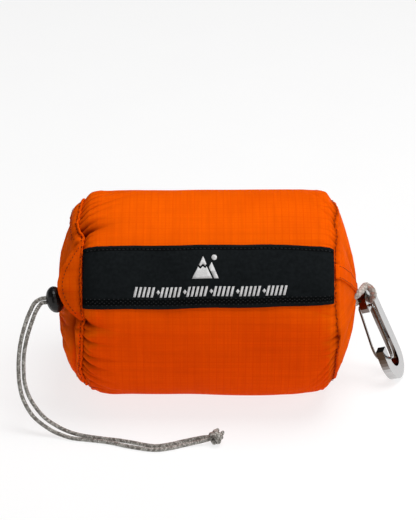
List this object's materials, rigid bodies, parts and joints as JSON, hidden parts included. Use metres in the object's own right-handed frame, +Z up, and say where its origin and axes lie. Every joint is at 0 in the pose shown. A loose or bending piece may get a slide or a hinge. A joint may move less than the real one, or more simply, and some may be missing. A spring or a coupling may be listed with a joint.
{
  "type": "packed camping hammock",
  "caption": "Camping hammock packed in a soft drawcord sack with a cord lock at its mouth, a name tape along its side and a wire-gate carabiner on a rope loop.",
  "frame": {"origin": "on the floor under the middle of the sack, in the flat that the sack rests on", "axes": "+X along the sack's axis from the drawn mouth to the closed base, -Y towards the side with the tape, +Z up"},
  "size_m": [0.2575, 0.1685, 0.1345],
  "materials": {
    "orange_cloth": "thin ripstop nylon with a fine square grid, slight sheen",
    "hammock_cloth": "thin woven nylon, matt",
    "black_tape": "close-woven matt tape with a printed mark",
    "grey_cord": "braided, flecked",
    "pale_rope": "braided with a reflective tracer",
    "black_plastic": "satin moulded",
    "polished_metal": "polished",
    "spring_steel": "bright wire"
  },
  "bodies": {
    "sack": {"sack_tube": "orange_cloth", "base_panel": "orange_cloth", "mouth_cover": "orange_cloth", "mouth_hem": "orange_cloth", "mouth_flap": "orange_cloth", "label_tape": "black_tape", "base_strap": "orange_cloth", "hammock_roll": "hammock_cloth", "suspension_rope_a": "pale_rope", "suspension_rope_b": "pale_rope", "gather_loop_a": "pale_rope", "gather_loop_b": "pale_rope", "drawcord_loop": "grey_cord", "drawcord_tail_a": "grey_cord", "drawcord_tail_b": "grey_cord", "drawcord_end_a": "grey_cord", "drawcord_end_b": "grey_cord", "drawcord_knot": "grey_cord", "rope_loop": "pale_rope", "spare_carabiner_body": "polished_metal"},
    "cord_lock": {"cord_lock_body": "black_plastic", "cord_lock_spring": "spring_steel"},
    "lock_plunger": {"cord_lock_plunger": "black_plastic"},
    "carabiner": {"carabiner_body": "polished_metal"},
    "carabiner_gate": {"carabiner_gate": "polished_metal"},
    "spare_gate": {"spare_carabiner_gate": "polished_metal"}
  },
  "joints": [
    {"name": "lock_slide", "type": "slide", "parent": "sack", "child": "cord_lock", "axis": [-0.9781, -0.0879, -0.1884], "range_m": [0, 0.003]},
    {"name": "plunger_press", "type": "slide", "parent": "cord_lock", "child": "lock_plunger", "axis": [0, -0.9063, 0.4226], "range_m": [0, 0.0021], "stiffness_N_per_m": 1500, "deforming": ["cord_lock_spring"]},
    {"name": "carabiner_swing", "type": "hinge", "parent": "sack", "child": "carabiner", "pos_m": [0.1035, 0, 0.065], "axis": [-0.2804, -0.9537, -0.1087], "range_deg": [-10, 90]},
    {"name": "gate_hinge", "type": "hinge", "parent": "carabiner", "child": "carabiner_gate", "pos_m": [0.10419, -0.00553, 0.0584], "axis": [0.8892, -0.3007, 0.3449], "range_deg": [0, 14], "stiffness_Nm_per_rad": 0.35},
    {"name": "spare_gate_hinge", "type": "hinge", "parent": "sack", "child": "spare_gate", "pos_m": [0.0844, -0.0068, 0.0906], "axis": [1, 0, 0], "range_deg": [0, 14], "stiffness_Nm_per_rad": 0.35}
  ]
}
